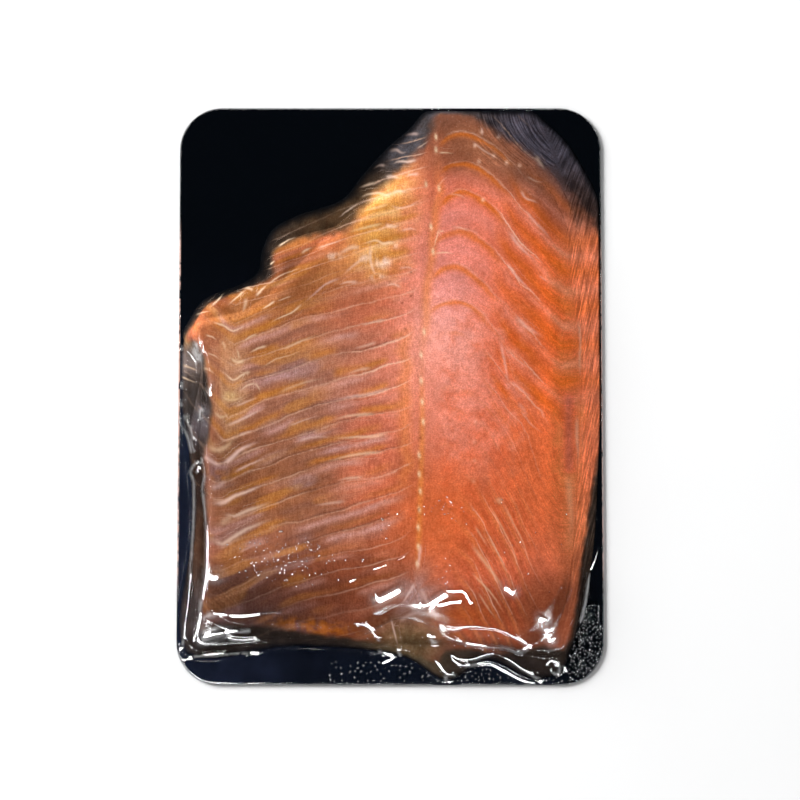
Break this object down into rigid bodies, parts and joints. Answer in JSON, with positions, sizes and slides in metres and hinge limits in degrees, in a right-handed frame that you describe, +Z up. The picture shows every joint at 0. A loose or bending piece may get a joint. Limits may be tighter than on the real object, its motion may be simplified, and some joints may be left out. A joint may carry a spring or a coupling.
{
  "type": "pack of smoked trout slices",
  "caption": "Flat vacuum skin pack: a black card with rounded corners and clear film drawn tight over overlapping slices of smoked trout. Lies flat, fish side up.",
  "frame": {"origin": "under the middle of the card, on the flat underside that the pack rests on", "axes": "+Z up out of the fish side, +Y along the card's long side towards the slices' narrow end, +X across to the side where the slices run off thin"},
  "size_m": [0.15, 0.2046, 0.0071],
  "materials": {
    "card": "black laminated board, glossy, with a bare kraft core at its cut edge",
    "film": "clear, glossy skin-pack film with small creases",
    "trout": "moist smoked trout flesh, orange pink with browner belly and pale connective tissue between its flakes"
  },
  "bodies": {
    "root": {"card": "card", "film_bag": "film"}
  },
  "joints": []
}
